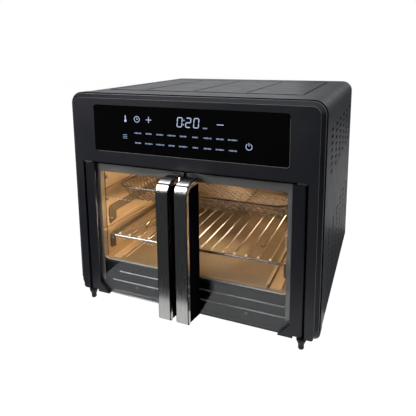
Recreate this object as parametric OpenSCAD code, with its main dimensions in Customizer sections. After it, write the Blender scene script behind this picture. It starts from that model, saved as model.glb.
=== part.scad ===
// French-door air-fryer toaster oven, in millimetres.
// +Z is up, the doors face -Y, and the origin is on the ground at the middle of the footprint.
// Modules are drawn in the body's own coordinates and put in place by in_place():
// x from the middle, y back from the bezel's face, z up from the body's lower edge.

/* [Body] */
// Width over the casing
body_w = 400; // [392:1:408]
// Height of the body without its feet
body_h = 332; // [330:1:336]
// Depth from the bezel's face to the casing's rear edge
body_d = 370; // [360:1:385]
// Radius of the casing's top corners
corner_r = 19; // [14:1:22]
// Height of the feet
foot_h = 16; // [12:1:20]
// Depth of the bezel's rim in front of the casing
seam_y = 7.4; // [6:0.2:9]
// Width of the bezel's sloped rim
rim_w = 8; // [5:0.5:9]
// Radius of the body's lower corners
foot_r = 10; // [8.5:0.5:12]

/* [Casing details] */
// Thickness of the casing's sheet
casing_t = 1.2; // [0.8:0.1:1.4]
// Height of the step behind the casing's front band
step_h = 0.6; // [0.4:0.1:0.8]
// Place of that step, from the bezel's face
step_y = 24; // [20:1:30]
// Length of a side vent slot
slot_l = 21; // [16:1:30]
// Height of a side vent slot
slot_h = 5; // [4:0.5:6]
// Distance between columns of side slots
slot_pitch_y = 51.5; // [45:0.5:52]
// Distance between rows of side slots
slot_pitch_z = 10; // [9:0.5:11]
// Width of the embossed lines on the top
line_w = 2.8; // [1.5:0.1:3]

/* [Control panel] */
// Width of the glass control panel
panel_w = 307; // [300:1:310]
// Lower edge of the control panel
panel_z0 = 242; // [240:1:244]
// Upper edge of the control panel
panel_z1 = 314; // [310:1:316]

/* [Doors] */
// Inner width between the bezel's legs
opening_w = 358.6; // [357:0.2:360]
// Upper edge of the door opening
opening_top = 223; // [221:1:225]
// Width of a door's outer stile
stile_w = 18; // [16:0.5:20]
// Thickness of a stile, front to back
stile_t = 10.5; // [9:0.5:10.5]
// Thickness of the door glass
glass_t = 3.5; // [3:0.5:4]
// Distance of the hinge axis from the middle
hinge_x = 172.5; // [172:0.1:173]
// Distance of the hinge axis behind the bezel's face
hinge_y = 4.5; // [4:0.1:5]
// Radius of the hinge pins
pin_r = 2.5; // [2:0.1:2.6]

/* [Handles] */
// Reach of the handles in front of the bezel
handle_d = 43; // [38:1:48]
// Width of a handle
handle_w = 17.5; // [15:0.5:18]
// Gap between the two handles
handle_gap = 11; // [10:0.5:14]
// Radius of a handle's upper front corner
nose_r = 18; // [14:1:22]
// Depth of the steel trim
trim_t = 9; // [5:0.5:10]

/* [Cavity] */
// Inner width of the cavity
cavity_w = 304; // [302:1:306]
// Floor of the cavity
cavity_z0 = 56; // [55:1:57]
// Ceiling of the cavity
cavity_z1 = 214; // [213:1:215]
// Rear wall of the cavity
cavity_y1 = 311; // [305:1:315]
// Depth of the embossed rack rails
rail_d = 9; // [8:0.5:10]

/* [Racks] */
// Radius of the rack's frame wire
frame_wire_r = 2; // [1.8:0.1:2.2]
// Radius of the rack's thin wires
thin_wire_r = 1.25; // [1:0.05:1.4]
// Distance between thin wires
wire_pitch = 18; // [16:0.5:19]
// Height of the fry basket
basket_h = 30; // [26:1:32]

/* [Hidden] */
$fn = 48;
eps = 0.01;

half_w = body_w / 2;
gland_reach = 11;
front_y = (handle_d - body_d - gland_reach) / 2;
// Sheet thickness of the inner steel parts
steel_t = 1;
// Inner faces of the casing
inner_x = half_w - step_h - casing_t;
inner_z = body_h - step_h - casing_t;
casing_y0 = seam_y + 1;

// Front frame plate behind the doors
frame_y0 = 12;
frame_y1 = 13.2;
mouth_z0 = 55;
mouth_z1 = 208;
mouth_x = 157;
mouth_r = 12;

// Doors
glass_y0 = 4;
glass_y1 = glass_y0 + glass_t;
door_top = 220;
door_bottom = 1.5;
// Lower edge of the door away from its hinge
door_low = -2.2;
low_x1 = 163;
stile_x1 = 176.5;
stile_x0 = stile_x1 - stile_w;
glass_x0 = 2;
glass_x1 = stile_x0 + 3.5;
stile_foot_w = 17;
stile_foot_h = 18;
pin_clearance = 0.05;
pin_depth = 13;

// Handles
handle_top = 216;
handle_x0 = handle_gap / 2;
chin_r = 6;
chin_z = 13;
root_z = -1;
web_inset = 1.5;

// Cavity
half_cavity = cavity_w / 2;
cavity_y0 = frame_y1;
rail_y0 = 26;
rail_y1 = 292;
rail_r = 8;
upper_rail = [113, 140];
lower_rail = [66, 94];

// Fan
fan_y = 160;
fan_r = 80;
fan_mouth_r = 92;
shaft_r = 3;

// Elements
upper_rod_y = [60, 112, 208, 260];
upper_rod_z = 200;
lower_rod_y = [90, 230];
lower_rod_z = 34;
rod_r = 3.5;
rod_hole_r = 4.2;

// Lamp
lamp_y = 232;
lamp_z = 190;
lamp_r = 13;

// Racks
rack_z = lower_rail[1] + frame_wire_r + 0.3;
rack_x = 147.5;
rack_y0 = 15;
rack_y1 = 286;
rack_corner = 14;
basket_x = 139.5;
basket_y0 = 54;
basket_y1 = 281;
basket_z0 = upper_rail[1] + 1.4;
basket_r = 25;
tray_x = 124;

// Gland
gland_x = -150;
gland_z = 60;
gland_hole_r = 4;

// Puts a part drawn in body coordinates into the part's own frame.
module in_place() {
    translate([0, front_y, foot_h]) children();
}

// Extrudes a drawing of the x-z plane from y0 back to y1.
module facing(y0, y1) {
    translate([0, y1, 0]) rotate([90, 0, 0]) linear_extrude(y1 - y0) children();
}

// Extrudes a drawing of the y-z plane from x0 to x1.
module sideways(x0, x1) {
    translate([x0, 0, 0]) rotate([90, 0, 90]) linear_extrude(x1 - x0) children();
}

module both_sides() {
    children();
    mirror([1, 0, 0]) children();
}

module block(lo, hi) {
    translate(lo) cube(hi - lo);
}

module rect(lo, hi) {
    translate(lo) square(hi - lo);
}

module round_rect(lo, hi, r) {
    rect([lo[0] + r, lo[1]], [hi[0] - r, hi[1]]);
    rect([lo[0], lo[1] + r], [hi[0], hi[1] - r]);
    for (x = [lo[0] + r, hi[0] - r], y = [lo[1] + r, hi[1] - r]) translate([x, y]) circle(r);
}

module slot2d(length, width) {
    square([length - width, width], center = true);
    for (x = [-1, 1]) translate([x * (length - width) / 2, 0]) circle(width / 2);
}

// Straight rod between two points on one axis.
module rod_x(x0, x1, y, z, r) {
    translate([x0, y, z]) rotate([0, 90, 0]) cylinder(h = x1 - x0, r = r);
}

module rod_y(x, y0, y1, z, r) {
    translate([x, y0, z]) rotate([-90, 0, 0]) cylinder(h = y1 - y0, r = r);
}

module rod_z(x, y, z0, z1, r) {
    translate([x, y, z0]) cylinder(h = z1 - z0, r = r);
}

// ---------------------------------------------------------------- casing

module side_slots() {
    columns = 6;
    first_y = 66;
    patches = [[225, 7], [45, 10]];
    for (patch = patches, row = [0:patch[1] - 1], column = [0:columns - 1])
        translate([first_y + column * slot_pitch_y, patch[0] + row * slot_pitch_z])
            slot2d(slot_l, slot_h);
}

// Casing outline: wide corners at the top, small ones where the sheet turns under.
module casing_outline(half, z0, z1, r_top, r_low) {
    rect([-half + r_top, z0], [half - r_top, z1]);
    rect([-half + r_low, z0], [half - r_low, z1 - r_top]);
    rect([-half, z0 + r_low], [half, z1 - r_top]);
    for (x = [-1, 1]) {
        translate([x * (half - r_top), z1 - r_top]) circle(r_top);
        translate([x * (half - r_low), z0 + r_low]) circle(r_low);
    }
}

module casing_arch(outset) {
    casing_outline(inner_x + casing_t + outset, step_h - outset, inner_z + casing_t + outset,
        corner_r + outset - step_h, foot_r + outset - step_h);
}

module top_lines() {
    left = -171;
    right = 158;
    front = 64;
    rear = 326;
    bay = 88;
    line_r = 9;
    difference() {
        round_rect([left, front], [right, rear], line_r);
        round_rect([left + line_w, front + line_w], [right - line_w, rear - line_w], line_r - line_w);
    }
    for (i = [1:3])
        rect([right - i * bay - line_w / 2, front + 16], [right - i * bay + line_w / 2, rear - 8]);
}

module outer_casing() {
    side_z1 = body_h - corner_r - 2;
    return_w = 18;
    line_depth = 0.75;
    color("#3a3c41") difference() {
        union() {
            difference() {
                union() {
                    facing(casing_y0, step_y) casing_arch(step_h);
                    facing(step_y, body_d) casing_arch(0);
                }
                facing(casing_y0 - 1, body_d + 1) casing_outline(inner_x, step_h + casing_t,
                    inner_z, corner_r - step_h - casing_t, foot_r - step_h - casing_t);
                facing(casing_y0 - 1, body_d + 1)
                    rect([-inner_x + return_w, -1], [inner_x - return_w, 20]);
                both_sides() block([inner_x - 1, step_y + 8, 20], [half_w + 1, body_d - 8, side_z1]);
            }
            both_sides() sideways(inner_x, inner_x + casing_t) difference() {
                rect([step_y + 8, 20], [body_d - 8, side_z1]);
                side_slots();
            }
        }
        translate([0, 0, body_h - step_h - line_depth]) linear_extrude(1) top_lines();
    }
}

module rear_vents() {
    for (side = [-1, 1], column = [0:3], row = [0:8])
        translate([side * (42 + column * 34), 150 + row * 13]) slot2d(26, 5);
}

rear_screw_places = [
    [-185, 20], [185, 20], [-185, 165], [185, 165], [-185, 305], [185, 305], [0, 318], [0, 14],
];

module rear_cover() {
    gap = 0.2;
    color("#303236") difference() {
        union() {
            facing(body_d - 2, body_d - 0.8) difference() {
                casing_outline(inner_x - gap, step_h + casing_t + gap, inner_z - gap,
                    corner_r - step_h - casing_t - gap, foot_r - step_h - casing_t - gap);
                rear_vents();
                translate([gland_x, gland_z]) circle(gland_hole_r + 4);
                for (p = rear_screw_places) translate(p) circle(1.8);
            }
        }
    }
}

module rear_screws() {
    color("silver") for (p = rear_screw_places) {
        rod_y(p[0], body_d - 8, body_d - 0.8, p[1], 1.6);
        difference() {
            rod_y(p[0], body_d - 0.8, body_d + 1.2, p[1], 3.6);
            block([p[0] - 2.4, body_d + 0.5, p[1] - 0.4], [p[0] + 2.4, body_d + 2, p[1] + 0.4]);
            block([p[0] - 0.4, body_d + 0.5, p[1] - 2.4], [p[0] + 0.4, body_d + 2, p[1] + 2.4]);
        }
    }
}

module base_pan() {
    lift = 0.2;
    pan_x = inner_x - 19;
    color("#8d8f92") difference() {
        block([-pan_x, 16, 0], [pan_x, body_d - 3, steel_t + lift]);
        for (side = [-1, 1], i = [0:8])
            translate([side * 80, 70 + i * 26, -1]) linear_extrude(4) slot2d(90, 6);
    }
    color("#8d8f92") for (side = [-1, 1])
        block([side > 0 ? pan_x - 1 : -pan_x, 16, steel_t + lift - eps],
              [side > 0 ? pan_x : -pan_x + 1, body_d - 3, 14]);
}

// ---------------------------------------------------------------- bezel and control panel

// Slab with rounded corners whose front edge slopes in by rim over its depth.
module sloped_slab(half, z0, z1, r_top, r_bottom, rim, depth) {
    mid = (z0 + z1) / 2;
    sideways(-half + r_top, half - r_top)
        polygon([[0, mid], [0, z1 - rim], [depth, z1], [depth, mid]]);
    sideways(-half + r_bottom, half - r_bottom)
        polygon([[0, z0 + rim], [0, mid], [depth, mid], [depth, z0]]);
    translate([0, 0, z0 + r_bottom]) linear_extrude(z1 - r_top - z0 - r_bottom)
        polygon([[-half + rim, 0], [half - rim, 0], [half, depth], [-half, depth]]);
    for (x = [-1, 1]) {
        translate([x * (half - r_top), 0, z1 - r_top]) rotate([-90, 0, 0])
            cylinder(h = depth, r1 = r_top - rim, r2 = r_top);
        translate([x * (half - r_bottom), 0, z0 + r_bottom]) rotate([-90, 0, 0])
            cylinder(h = depth, r1 = r_bottom - rim, r2 = r_bottom);
    }
}

module front_bezel() {
    wall = 3;
    shoulder = 2.4;
    half_open = opening_w / 2;
    half_panel = panel_w / 2;
    lip = 9;
    color("#26282c") difference() {
        union() {
            sloped_slab(half_w, 0, body_h, corner_r, foot_r, rim_w, seam_y);
            // the legs have no slope at their lower ends
            facing(0, seam_y) round_rect([-half_w + rim_w + 0.5, 0], [half_w - rim_w - 0.5, 20], 4);
            facing(seam_y, frame_y0) round_rect([-half_w + shoulder, shoulder],
                [half_w - shoulder, body_h - shoulder], foot_r - shoulder);
        }
        // corners of the rear part follow the casing's inner radius
        both_sides() facing(seam_y, frame_y0 + 1) difference() {
            rect([half_w - corner_r, body_h - corner_r], [half_w, body_h]);
            translate([half_w - corner_r, body_h - corner_r]) circle(corner_r - shoulder);
        }
        block([-half_open, -1, -1], [half_open, frame_y0 + 1, opening_top]);
        block([-half_w + 7, wall, opening_top + wall], [half_w - 7, frame_y0 + 1, body_h - 8]);
        both_sides() block([half_open + wall, wall, 10], [half_w - 7, frame_y0 + 1, opening_top + 6]);
        facing(-1, 2.4) round_rect([-half_panel - 0.3, panel_z0 - 0.3],
            [half_panel + 0.3, panel_z1 + 0.3], 4.3);
        facing(-1, wall + 1) rect([-half_panel + lip, panel_z0 + lip],
            [half_panel - lip, panel_z1 - lip]);
        // counterbores under the upper hinge brackets
        both_sides() rod_z(hinge_x + 1, 8, opening_top - 1, opening_top + wall + 1, 1.6);
    }
}

module control_glass() {
    half_panel = panel_w / 2;
    color("#050506") facing(0.3, 2.3)
        round_rect([-half_panel, panel_z0], [half_panel, panel_z1], 4);
}

digit_x = 8;
digit_z = 294;

module display_housing() {
    color("#e9e9e6") facing(3.2, 8) difference() {
        rect([-124, 252], [124, 304]);
        rect([-118, 256], [118, 300]);
    }
    color("#e9e9e6") for (x = [-121, 121], z = [255, 301])
        block([x - 2, 3.2, z - 2], [x + 2, 10.2, z + 2]);
}

module display_module() {
    color("#16171a") block([digit_x - 24, 3.2, digit_z - 7], [digit_x + 24, 10.2, digit_z + 6]);
}

module control_board() {
    color("#1c6b46") facing(10.3, 11.8) rect([-126, 248], [126, 306]);
}

touch_keys = [[-96, 295], [-76, 295], [-56, 295], [57, 295], [-98, 267], [98, 267]];

module touch_springs() {
    spring_r = 3.2;
    color("silver") for (key = touch_keys) difference() {
        rod_y(key[0], 2.5, 10.2, key[1], spring_r);
        rod_y(key[0], 1, 11, key[1], spring_r - 0.8);
    }
}

// ---------------------------------------------------------------- cavity

module front_frame() {
    half_frame = half_w - 5;
    color("#55575b") facing(frame_y0, frame_y1) difference() {
        rect([-half_frame, 4], [half_frame, 240]);
        round_rect([-mouth_x, mouth_z0], [mouth_x, mouth_z1], mouth_r);
        for (x = [-93, 93]) translate([x, 14]) circle(1.3);
    }
}

module rail_outline(rail, grow) {
    round_rect([rail_y0 - grow, rail[0] - grow], [rail_y1 + grow, rail[1] + grow], rail_r + grow);
}

module cavity_side() {
    rails = [upper_rail, lower_rail];
    sideways(half_cavity, half_cavity + steel_t) difference() {
        rect([cavity_y0, cavity_z0 - steel_t], [cavity_y1 + steel_t, cavity_z1 + steel_t]);
        for (rail = rails) rail_outline(rail, -steel_t);
        for (y = upper_rod_y) translate([y, upper_rod_z]) circle(rod_hole_r);
    }
    for (rail = rails) {
        sideways(half_cavity - rail_d + steel_t, half_cavity + eps) difference() {
            rail_outline(rail, 0);
            rail_outline(rail, -steel_t);
        }
        sideways(half_cavity - rail_d, half_cavity - rail_d + steel_t + eps) rail_outline(rail, 0);
    }
}

module cavity_liner() {
    x1 = half_cavity + steel_t;
    color("#b9a283") difference() {
        union() {
            both_sides() cavity_side();
            block([-x1, cavity_y0, cavity_z0 - steel_t], [x1, cavity_y1 + steel_t, cavity_z0]);
            // collars that meet the front frame beside the mouth
            both_sides() block([half_cavity, cavity_y0, cavity_z0 - steel_t],
                [mouth_x + 4, cavity_y0 + steel_t, cavity_z1 + steel_t]);
            block([-x1, cavity_y0, cavity_z1], [x1, cavity_y1 + steel_t, cavity_z1 + steel_t]);
            block([-x1, cavity_y1, cavity_z0 - steel_t], [x1, cavity_y1 + steel_t, cavity_z1 + steel_t]);
        }
        rod_z(0, fan_y, cavity_z1 - 1, cavity_z1 + 2, fan_mouth_r);
        rod_x(half_cavity - 1, x1 + 1, lamp_y, lamp_z, lamp_r);
        rod_x(-x1 - 1, -half_cavity + 1, 286, 190, 2.1);
        for (side = [-1, 1], z = [155, 192]) rod_x(side * half_cavity - 2, side * half_cavity + 2, 22, z, 1.3);
    }
}

module liner_screws() {
    color("silver") both_sides() for (z = [155, 192]) {
        rod_x(half_cavity - 1.6, half_cavity, 22, z, 3);
        rod_x(half_cavity - eps, half_cavity + 5, 22, z, 1.25);
    }
}

module front_apron() {
    half_apron = 150;
    cut = 12;
    z0 = 9;
    z1 = 51;
    ridges = [[-122, 37], [-136, 20.5]];
    ridge_x1 = 147;
    color("#5c5f63") {
        difference() {
            facing(frame_y0 - 1, frame_y0) polygon([
                [-half_apron, z0 + cut], [-half_apron + cut, z0], [half_apron - cut, z0],
                [half_apron, z0 + cut], [half_apron, z1 - cut], [half_apron - cut, z1],
                [-half_apron + cut, z1], [-half_apron, z1 - cut],
            ]);
            for (x = [-93, 93]) rod_y(x, frame_y0 - 2, frame_y0 + 1, 14, 1.3);
        }
        for (ridge = ridges) intersection() {
            rod_x(ridge[0], ridge_x1, frame_y0 - 0.2, ridge[1], 2.6);
            block([-half_apron, frame_y0 - 6, 0], [half_apron, frame_y0 - 1 + eps, 60]);
        }
    }
}

module apron_screws() {
    color("silver") for (x = [-93, 93]) {
        rod_y(x, frame_y0 - 2.4, frame_y0 - 1, 14, 2.6);
        rod_y(x, frame_y0 - 1 - eps, frame_y0 + 5, 14, 1.25);
    }
}

// ---------------------------------------------------------------- heating and air

module upper_elements() {
    color("#6d665e") for (y = upper_rod_y)
        rod_x(-half_cavity - 8, half_cavity + 8, y, upper_rod_z, rod_r);
}

module lower_elements() {
    color("#6d665e") for (y = lower_rod_y) {
        rod_x(-130, 130, y, lower_rod_z, rod_r);
        for (x = [-110, 110]) {
            block([x - 4, y - 1, steel_t + 0.2], [x + 4, y + 1, lower_rod_z - rod_r + 1]);
        }
    }
}

module element_insulators() {
    color("#efece4") {
        both_sides() for (y = upper_rod_y) difference() {
            rod_x(half_cavity + steel_t, half_cavity + 12, y, upper_rod_z, 6.5);
            rod_x(half_cavity, half_cavity + 8, y, upper_rod_z, rod_r + 0.1);
        }
        both_sides() for (y = lower_rod_y) difference() {
            rod_x(124, 140, y, lower_rod_z, 6.5);
            rod_x(123, 130, y, lower_rod_z, rod_r + 0.1);
        }
    }
}

module fan_cover() {
    rings = [[14, 6], [28, 12], [42, 18], [56, 24], [70, 30], [84, 36]];
    color("#b9a283") translate([0, fan_y, cavity_z1 - 2]) difference() {
        linear_extrude(2) difference() {
            circle(104);
            for (ring = rings, i = [0:ring[1] - 1])
                rotate(i * 360 / ring[1]) translate([ring[0], 0]) circle(3);
        }
        translate([0, 0, 1]) cylinder(h = 2, r = 96);
    }
}

module fan_housing() {
    top = 246;
    flange_r = 104;
    wall_r = 95;
    color("#a5a7a9") translate([0, fan_y, 0]) difference() {
        union() {
            translate([0, 0, cavity_z1 + steel_t]) cylinder(h = steel_t, r = flange_r);
            translate([0, 0, cavity_z1 + steel_t]) cylinder(h = top - cavity_z1 - steel_t, r = wall_r);
        }
        translate([0, 0, cavity_z1]) cylinder(h = top - cavity_z1 - steel_t, r = wall_r - steel_t);
        cylinder(h = top + 1, r = shaft_r + 3);
    }
}

module fan_wheel() {
    blades = 12;
    z0 = 221;
    z1 = 240;
    color("#c9cbcd") translate([0, fan_y, 0]) difference() {
        union() {
            rod_z(0, 0, z1 - 1.2, z1, fan_r);
            rod_z(0, 0, z0, z1, 9);
            for (i = [0:blades - 1]) rotate(i * 360 / blades)
                block([38, -0.7, z0], [fan_r - 1, 0.7, z1 - 1]);
        }
        rod_z(0, 0, z0 - 1, z1 + 1, shaft_r);
    }
}

module motor_shaft() {
    color("silver") rod_z(0, fan_y, 219, 306, shaft_r);
}

module fan_motor() {
    color("#7b7d80") translate([0, fan_y, 0]) difference() {
        union() {
            block([-30, -26, 262], [30, 26, 280]);
            rod_z(0, 0, 258, 286, 17);
        }
        rod_z(0, 0, 250, 290, shaft_r + 0.06);
    }
    color("#b4632d") translate([0, fan_y, 0]) both_sides()
        block([30, -20, 260.5], [38, 20, 281.5]);
}

module motor_bracket() {
    z0 = 246;
    z1 = 258;
    color("#a5a7a9") translate([0, fan_y, 0]) difference() {
        union() {
            block([-50, -14, z1 - 1.2], [50, 14, z1]);
            both_sides() block([48.8, -14, z0], [50, 14, z1]);
            both_sides() block([48.8, -14, z0], [62, 14, z0 + 1.2]);
        }
        rod_z(0, 0, z0, z1 + 1, shaft_r + 3);
    }
}

module cooling_wheel() {
    blades = 9;
    z0 = 291;
    z1 = 304;
    color("#34363a") translate([0, fan_y, 0]) difference() {
        union() {
            rod_z(0, 0, z0, z0 + 1.5, 42);
            rod_z(0, 0, z0, z1, 8);
            for (i = [0:blades - 1]) rotate(i * 360 / blades) block([7, -0.8, z0], [42, 0.8, z1]);
        }
        rod_z(0, 0, z0 - 1, z1 + 1, shaft_r);
    }
}

// ---------------------------------------------------------------- lamp, sensors, electrics

module cavity_lamp() {
    x0 = half_cavity + 3;
    color("#efe7cf") translate([x0, lamp_y, lamp_z]) rotate([0, 90, 0]) {
        cylinder(h = 16, r1 = 5, r2 = 9);
        translate([0, 0, 16]) cylinder(h = 12, r = 10);
    }
    color("#a5a7a9") difference() {
        rod_x(half_cavity + steel_t, x0 + 17, lamp_y, lamp_z, lamp_r + 5);
        rod_x(half_cavity, x0 + 16, lamp_y, lamp_z, lamp_r + 4);
        rod_x(x0 + 15, x0 + 20, lamp_y, lamp_z, 8.9);
    }
}

module lamp_lens() {
    color("#f4efe2") {
        rod_x(half_cavity - 2, half_cavity, lamp_y, lamp_z, lamp_r + 4);
        rod_x(half_cavity - eps, half_cavity + steel_t, lamp_y, lamp_z, lamp_r - 0.2);
    }
}

module temperature_probe() {
    color("silver") {
        rod_x(-half_cavity - 12, -half_cavity + 26, 286, 190, 2);
        translate([-half_cavity - 1 - 5, 286, 190]) rotate([0, 90, 0]) cylinder(h = 5, r = 5, $fn = 6);
    }
}

module thermal_cutout() {
    color("#2b2c2e") translate([-105, 52, 0]) {
        rod_z(0, 0, cavity_z1 + steel_t, 220, 12);
        rod_z(0, 0, 220, 229, 8);
        for (x = [-4, 4]) block([x - 2, -0.5, 229 - eps], [x + 2, 0.5, 238]);
    }
}

board_x = 178;

module power_board() {
    color("#b08b4f") sideways(board_x, board_x + 1.6) rect([60, 60], [180, 200]);
    color("#2a2b2d") {
        block([board_x - 19, 70, 150], [board_x, 104, 186]);
        block([board_x - 14, 116, 160], [board_x, 132, 186]);
        block([board_x - 14, 140, 160], [board_x, 156, 186]);
    }
    color("#333b52") for (z = [80, 104]) rod_x(board_x - 18, board_x, 86, z, 8);
    color("#2f6b3a") block([board_x - 10, 120, 70], [board_x, 170, 84]);
}

module power_board_bracket() {
    color("#8d8f92") {
        sideways(board_x + 7, board_x + 8.2) difference() {
            rect([50, 14], [190, 210]);
            rect([75, 70], [165, 190]);
        }
        block([board_x - 8, 50, 14], [board_x + 8.2, 190, 15.2]);
        for (y = [66, 174], z = [66, 194]) rod_x(board_x + 1.6, board_x + 7 + eps, y, z, 3);
    }
}

module terminal_block() {
    color("#efece4") difference() {
        block([-168, 318, steel_t + 0.2], [-132, 336, 20]);
        for (x = [-162, -150, -138]) rod_y(x, 317, 337, 12, 2);
    }
}

module cord_gland() {
    color("#16171a") difference() {
        union() {
            rod_y(gland_x, body_d - 0.8, body_d + 3, gland_z, gland_hole_r + 7);
            rod_y(gland_x, body_d - 6, body_d, gland_z, gland_hole_r + 3.9);
            translate([gland_x, body_d + 3 - eps, gland_z]) rotate([-90, 0, 0])
                cylinder(h = gland_reach - 3 + eps, r1 = gland_hole_r + 5, r2 = gland_hole_r + 2.5);
        }
        rod_y(gland_x, body_d - 10, body_d + gland_reach + 1, gland_z, gland_hole_r);
    }
}

// ---------------------------------------------------------------- feet and hinges

bracket_t = 2;
front_foot_x = 175;
front_foot_y = 3;

module front_feet() {
    color("#1b1c1e") both_sides() translate([front_foot_x, front_foot_y, 0]) {
        translate([0, 0, -bracket_t - 6.5]) cylinder(h = 6.5, r1 = 4.4, r2 = 7);
        translate([0, 0, -foot_h + 1.2]) cylinder(h = foot_h - bracket_t - 7, r = 4.1);
        translate([0, 0, -foot_h]) cylinder(h = 1.2 + eps, r1 = 3.2, r2 = 4.1);
    }
}

module rear_feet() {
    color("#1b1c1e") both_sides() translate([160, body_d - 34, -foot_h])
        cylinder(h = foot_h, r1 = 8.5, r2 = 11);
}

module lower_hinge_brackets() {
    color("#6b6d70") both_sides() {
        translate([0, 0, -bracket_t]) linear_extrude(bracket_t) {
            rect([front_foot_x - 6.5, front_foot_y], [front_foot_x + 6.5, 46]);
            translate([front_foot_x, front_foot_y]) circle(6.5);
        }
        rod_z(hinge_x, hinge_y, -eps, door_bottom + pin_depth - 1, pin_r);
        translate([hinge_x, hinge_y, -eps]) cylinder(h = 1, r = 4);
    }
}

module upper_hinge_brackets() {
    z0 = door_top + 0.6;
    color("#6b6d70") both_sides() {
        block([hinge_x - 8, 1.2, z0], [hinge_x + 5.5, frame_y0, opening_top - 0.2]);
        rod_z(hinge_x, hinge_y, door_top - pin_depth + 1, z0 + eps, pin_r);
    }
}

module door_magnets() {
    color("#8a8c8f") both_sides() block([8, 9.4, 210], [22, frame_y0, 217]);
}

// ---------------------------------------------------------------- doors, drawn as the right-hand one

module door_glass() {
    color("#9fb0b4", 0.35) facing(glass_y0, glass_y1)
        rect([glass_x0, door_low + 0.7], [glass_x1, door_top - 0.5]);
}

module door_stile() {
    edge_r = 3;
    fit = 0.08;
    color("#1d1e21") difference() {
        union() {
            translate([0, 0, door_bottom]) linear_extrude(door_top - door_bottom) {
                rect([stile_x0, 0], [stile_x1 - edge_r, stile_t]);
                rect([stile_x0, edge_r], [stile_x1, stile_t]);
                translate([stile_x1 - edge_r, edge_r]) circle(edge_r);
            }
            facing(0, stile_t) polygon([
                [low_x1, door_low], [stile_x0 - stile_foot_w, door_low],
                [stile_x0, door_low + stile_foot_h], [low_x1, door_low + stile_foot_h],
            ]);
        }
        block([glass_x0, glass_y0 - fit, door_low + 0.6], [glass_x1 + fit, glass_y1 + fit, door_top - 0.4]);
        rod_z(hinge_x, hinge_y, door_bottom - 1, door_bottom + pin_depth, pin_r + pin_clearance);
        rod_z(hinge_x, hinge_y, door_top - pin_depth, door_top + 1, pin_r + pin_clearance);
    }
}

module handle_profile() {
    translate([-handle_d + nose_r, handle_top - nose_r]) circle(nose_r);
    translate([-handle_d + chin_r, chin_z]) circle(chin_r);
    polygon([
        [-handle_d, handle_top - nose_r], [-handle_d, chin_z], [-handle_d + chin_r, chin_z - chin_r],
        [glass_y0, root_z], [glass_y0, handle_top], [-handle_d + nose_r, handle_top],
    ]);
}

module handle_core() {
    core_nose = nose_r - trim_t;
    translate([-handle_d + nose_r, handle_top - nose_r]) circle(core_nose);
    polygon([
        [-handle_d + trim_t, handle_top - nose_r], [-handle_d + trim_t, root_z + 3],
        [-handle_d + trim_t + 3, root_z - 3], [20, root_z - 3], [20, handle_top - trim_t],
        [-handle_d + nose_r, handle_top - trim_t],
    ]);
}

module handle_trim() {
    color("#8b8e92") sideways(handle_x0, handle_x0 + handle_w) difference() {
        handle_profile();
        handle_core();
    }
}

module handle() {
    color("#141517") {
        sideways(handle_x0 + web_inset, handle_x0 + handle_w - web_inset) intersection() {
            handle_profile();
            handle_core();
        }
    }
}

module strike_plate() {
    color("silver") block([8, glass_y1, 209], [22, glass_y1 + 1.2, 217.5]);
}

module left_door_glass() { mirror([1, 0, 0]) door_glass(); }
module left_door_stile() { mirror([1, 0, 0]) door_stile(); }
module left_handle() { mirror([1, 0, 0]) handle(); }
module left_handle_trim() { mirror([1, 0, 0]) handle_trim(); }
module left_strike_plate() { mirror([1, 0, 0]) strike_plate(); }
module right_door_glass() { door_glass(); }
module right_door_stile() { door_stile(); }
module right_handle() { handle(); }
module right_handle_trim() { handle_trim(); }
module right_strike_plate() { strike_plate(); }

// ---------------------------------------------------------------- rack, basket and tray

module wire_corner(x, y, z, bend_r, wire_r, turn) {
    translate([x, y, z]) rotate([0, 0, turn]) rotate_extrude(angle = 90)
        translate([bend_r, 0]) circle(wire_r);
}

// Closed wire rectangle with bent corners.
module wire_loop(half, y0, y1, z, bend_r, wire_r) {
    for (y = [y0, y1]) rod_x(-half + bend_r - eps, half - bend_r + eps, y, z, wire_r);
    for (x = [-half, half]) rod_y(x, y0 + bend_r - eps, y1 - bend_r + eps, z, wire_r);
    wire_corner(half - bend_r, y1 - bend_r, z, bend_r, wire_r, 0);
    wire_corner(-half + bend_r, y1 - bend_r, z, bend_r, wire_r, 90);
    wire_corner(-half + bend_r, y0 + bend_r, z, bend_r, wire_r, 180);
    wire_corner(half - bend_r, y0 + bend_r, z, bend_r, wire_r, 270);
}

module wire_rack() {
    weld = 0.5;
    thin_z = rack_z + frame_wire_r + thin_wire_r - weld;
    color("#d4d6d8") {
        wire_loop(rack_x, rack_y0 + frame_wire_r, rack_y1, rack_z, rack_corner, frame_wire_r);
        for (i = [-7:7])
            rod_y(i * wire_pitch, rack_y0 + 0.6, rack_y1 + 1.4, thin_z, thin_wire_r);
        rod_x(-rack_x, rack_x, 226, rack_z, frame_wire_r - 0.2);
    }
}

module basket_outline(grow) {
    round_rect([-basket_x - grow, basket_y0 - grow], [basket_x + grow, basket_y1 + grow],
        basket_r + grow);
}

module fry_basket() {
    wall = 1.2;
    rim = 3.4;
    rim_out = 9;
    runner_r = 1.5;
    color("#9a9c9f") {
        translate([0, 0, basket_z0]) difference() {
            union() {
                linear_extrude(basket_h) basket_outline(0);
                translate([0, 0, basket_h - rim]) linear_extrude(rim) basket_outline(rim_out);
            }
            translate([0, 0, wall]) linear_extrude(basket_h) basket_outline(-wall);
        }
        for (y = [96, 240], side = [-1, 1])
            rod_x(side > 0 ? basket_x - 3 : -basket_x - 7, side > 0 ? basket_x + 7 : -basket_x + 3,
                y, upper_rail[1] + runner_r + 0.4, runner_r);
    }
}

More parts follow.
